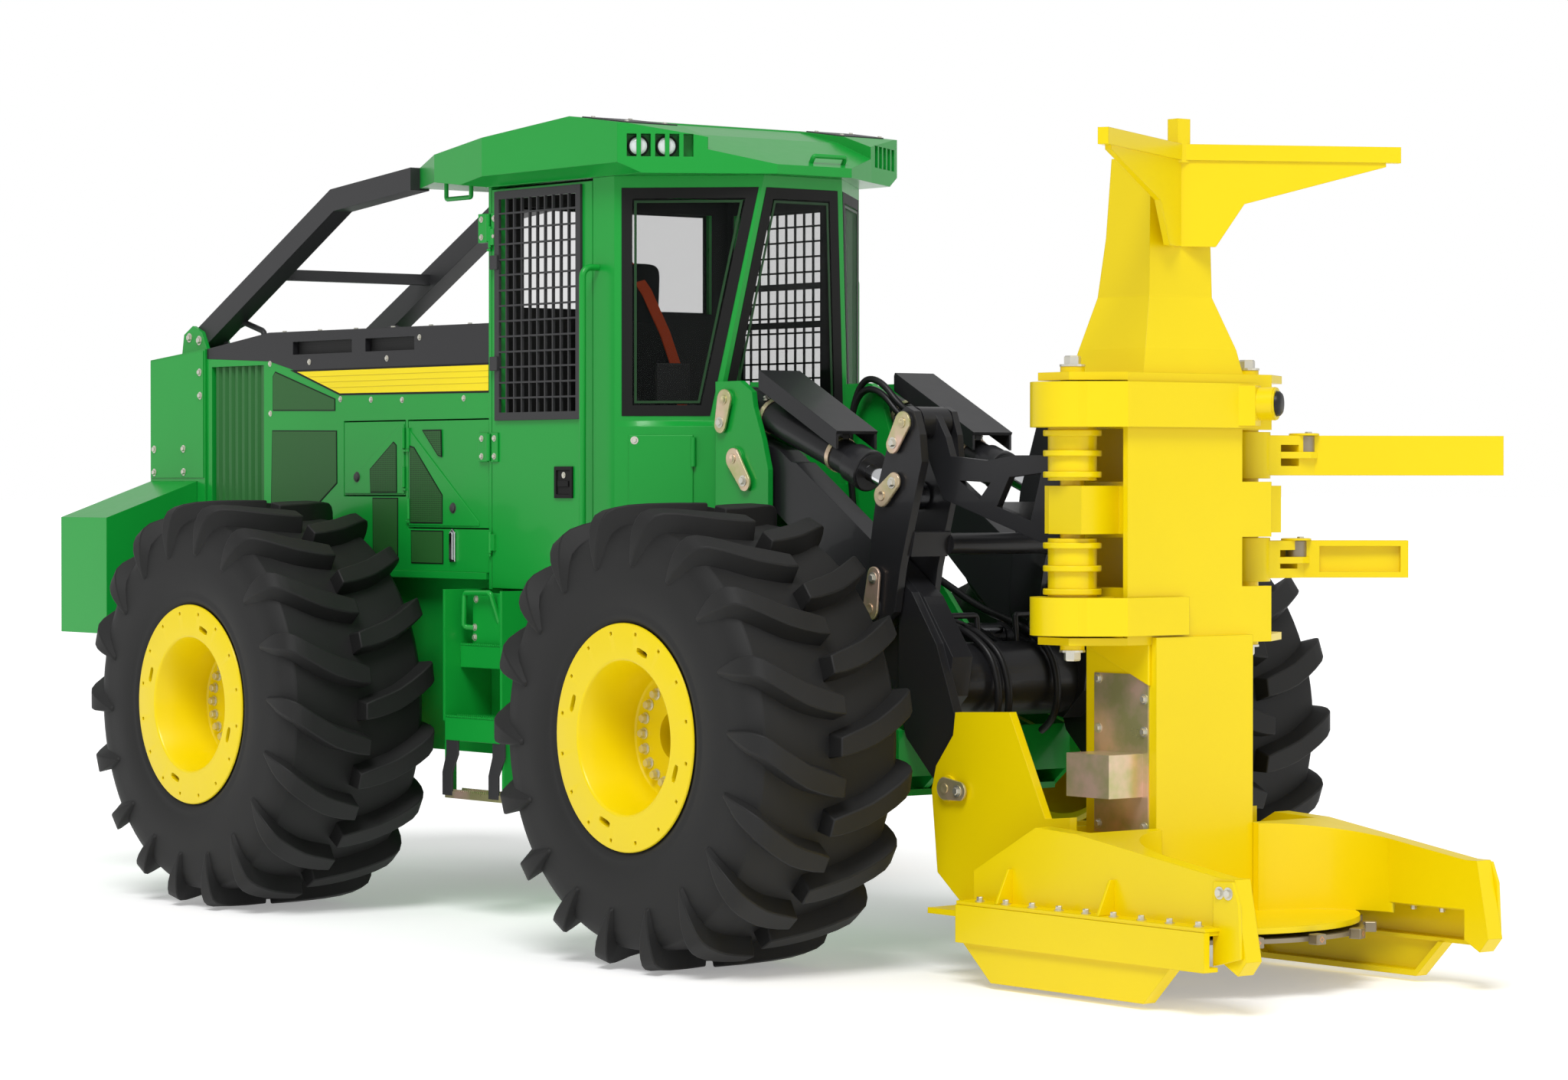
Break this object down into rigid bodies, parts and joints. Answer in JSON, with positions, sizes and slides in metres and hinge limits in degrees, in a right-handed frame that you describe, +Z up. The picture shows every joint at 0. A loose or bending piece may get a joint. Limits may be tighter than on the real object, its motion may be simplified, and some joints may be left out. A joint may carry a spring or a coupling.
{
  "type": "wheeled feller buncher",
  "caption": "Articulated forestry carrier on big lugged tyres, with a guarded cab, a linkage boom and an upright disc saw felling head.",
  "frame": {"origin": "on the ground, below the middle of the whole machine's length and width", "axes": "+X forward to the felling head, +Y to the machine's left, +Z up"},
  "size_m": [7.408, 2.972, 3.364],
  "materials": {
    "green": "gloss paint",
    "black": "satin paint",
    "yellow": "gloss paint",
    "tyre": "matt",
    "engine": "painted",
    "seat": "woven",
    "glass": "clear",
    "rod": "polished",
    "saw": "machined",
    "zinc": "yellow zinc"
  },
  "bodies": {
    "rear": {"rear_chassis": "green", "rear_axle": "green", "rear_bumper": "green", "rear_housing": "green", "side_grilles": "black", "hood": "green", "hood_top": "black", "engine_block": "engine", "cab_shell": "green", "cab_roof": "green", "cab_glass": "glass", "seat": "seat", "seat_back": "seat", "brush_guards": "black", "steps": "black", "handrails": "black"},
    "front": {"front_chassis": "green", "front_axle": "green"},
    "boom": {"boom": "black"},
    "rocker": {"rocker": "black"},
    "tilt_link": {"tilt_link": "black"},
    "tilt_barrels": {"tilt_barrels": "black"},
    "tilt_rods": {"tilt_rods": "rod"},
    "lift_barrels": {"lift_barrels": "black"},
    "lift_rods": {"lift_rods": "rod"},
    "head": {"head_ears": "yellow", "head_column": "yellow", "head_top": "yellow", "saw_housing": "yellow", "skids": "yellow", "column_covers": "zinc"},
    "saw": {"saw_disc": "saw"},
    "arm_right_upper": {"arm_right_upper": "yellow"},
    "arm_right_lower": {"arm_right_lower": "yellow"},
    "arm_left_upper": {"arm_left_upper": "yellow"},
    "arm_left_lower": {"arm_left_lower": "yellow"},
    "cab_door": {"cab_door": "green", "door_guard": "black"},
    "door_middle_right": {"engine_door_middle_right": "green"},
    "door_front_right": {"engine_door_front_right": "green"},
    "door_middle_left": {"engine_door_middle_left": "green"},
    "door_front_left": {"engine_door_front_left": "green"},
    "wheel_front_right": {"rim_front_right": "yellow", "tyre_front_right": "tyre"},
    "wheel_front_left": {"rim_front_left": "yellow", "tyre_front_left": "tyre"},
    "wheel_rear_right": {"rim_rear_right": "yellow", "tyre_rear_right": "tyre"},
    "wheel_rear_left": {"rim_rear_left": "yellow", "tyre_rear_left": "tyre"}
  },
  "joints": [
    {"name": "steering", "type": "hinge", "parent": "rear", "child": "front", "pos_m": [-0.398, 0, 1.01], "axis": [0, 0, 1], "range_deg": [-40, 40]},
    {"name": "boom_lift", "type": "hinge", "parent": "front", "child": "boom", "pos_m": [0.584, 0, 1.951], "axis": [0, -1, 0], "range_deg": [0, 35]},
    {"name": "head_tilt", "type": "hinge", "parent": "boom", "child": "head", "pos_m": [1.937, 0, 0.698], "axis": [0, 1, 0], "range_deg": [-12, 30]},
    {"name": "rocker_swing", "type": "hinge", "parent": "boom", "child": "rocker", "pos_m": [1.492, 0, 1.368], "axis": [0, 1, 0], "range_deg": [-19.2, 48]},
    {"name": "link_swing", "type": "hinge", "parent": "rocker", "child": "tilt_link", "pos_m": [1.685, 0, 2.084], "axis": [0, 1, 0], "range_deg": [-42.6, 17.04]},
    {"name": "tilt_barrel_swing", "type": "hinge", "parent": "front", "child": "tilt_barrels", "pos_m": [0.526, 0, 2.189], "axis": [0, -1, 0], "range_deg": [0, 32.55]},
    {"name": "tilt_rod_slide", "type": "slide", "parent": "tilt_barrels", "child": "tilt_rods", "axis": [0.9377, 0, -0.3476], "range_m": [-0.1405, 0.3515]},
    {"name": "lift_barrel_swing", "type": "hinge", "parent": "front", "child": "lift_barrels", "pos_m": [0.532, 0, 1], "axis": [0, -1, 0], "range_deg": [0, 21.2]},
    {"name": "lift_rod_slide", "type": "slide", "parent": "lift_barrels", "child": "lift_rods", "axis": [0.964, 0, 0.2659], "range_m": [0, 0.5045]},
    {"name": "saw_spin", "type": "hinge", "parent": "head", "child": "saw", "pos_m": [2.732, 0, 0.215], "axis": [0, 0, 1], "continuous": true},
    {"name": "arm_right_upper_swing", "type": "hinge", "parent": "head", "child": "arm_right_upper", "pos_m": [2.593, -0.447, 2.14], "axis": [0, 0, 1], "range_deg": [-140, 0]},
    {"name": "arm_right_lower_swing", "type": "hinge", "parent": "head", "child": "arm_right_lower", "pos_m": [2.593, -0.447, 1.365], "axis": [0, 0, 1], "range_deg": [-140, 0]},
    {"name": "arm_left_upper_swing", "type": "hinge", "parent": "head", "child": "arm_left_upper", "pos_m": [2.593, 0.447, 1.958], "axis": [0, 0, 1], "range_deg": [-110, 0]},
    {"name": "arm_left_lower_swing", "type": "hinge", "parent": "head", "child": "arm_left_lower", "pos_m": [2.593, 0.447, 1.563], "axis": [0, 0, 1], "range_deg": [-110, 0]},
    {"name": "cab_door_swing", "type": "hinge", "parent": "rear", "child": "cab_door", "pos_m": [-0.847, -0.659, 2.25], "axis": [0, 0, -1], "range_deg": [0, 100]},
    {"name": "door_middle_right_swing", "type": "hinge", "parent": "rear", "child": "door_middle_right", "pos_m": [-1.534, -0.645, 1.96], "axis": [0, 0, 1], "range_deg": [0, 90]},
    {"name": "door_front_right_swing", "type": "hinge", "parent": "rear", "child": "door_front_right", "pos_m": [-1.494, -0.645, 1.9], "axis": [0, 0, -1], "range_deg": [0, 90]},
    {"name": "door_middle_left_swing", "type": "hinge", "parent": "rear", "child": "door_middle_left", "pos_m": [-1.534, 0.645, 1.96], "axis": [0, 0, -1], "range_deg": [0, 90]},
    {"name": "door_front_left_swing", "type": "hinge", "parent": "rear", "child": "door_front_left", "pos_m": [-1.494, 0.645, 1.9], "axis": [0, 0, 1], "range_deg": [0, 90]},
    {"name": "wheel_front_right_spin", "type": "hinge", "parent": "front", "child": "wheel_front_right", "pos_m": [1.192, -1.104, 0.89], "axis": [0, 1, 0], "continuous": true},
    {"name": "wheel_front_left_spin", "type": "hinge", "parent": "front", "child": "wheel_front_left", "pos_m": [1.192, 1.104, 0.89], "axis": [0, 1, 0], "continuous": true},
    {"name": "wheel_rear_right_spin", "type": "hinge", "parent": "rear", "child": "wheel_rear_right", "pos_m": [-1.988, -1.104, 0.89], "axis": [0, 1, 0], "continuous": true},
    {"name": "wheel_rear_left_spin", "type": "hinge", "parent": "rear", "child": "wheel_rear_left", "pos_m": [-1.988, 1.104, 0.89], "axis": [0, 1, 0], "continuous": true}
  ],
  "couplings": [
    {"joint": "rocker_swing", "follows": "head_tilt", "ratio": 1.6},
    {"joint": "link_swing", "follows": "head_tilt", "ratio": -1.42},
    {"joint": "tilt_rod_slide", "follows": "head_tilt", "m_per_rad": 0.67036},
    {"joint": "tilt_barrel_swing", "follows": "boom_lift", "ratio": 0.93},
    {"joint": "lift_barrel_swing", "follows": "boom_lift", "ratio": 0.605},
    {"joint": "lift_rod_slide", "follows": "boom_lift", "m_per_rad": 0.82506}
  ]
}
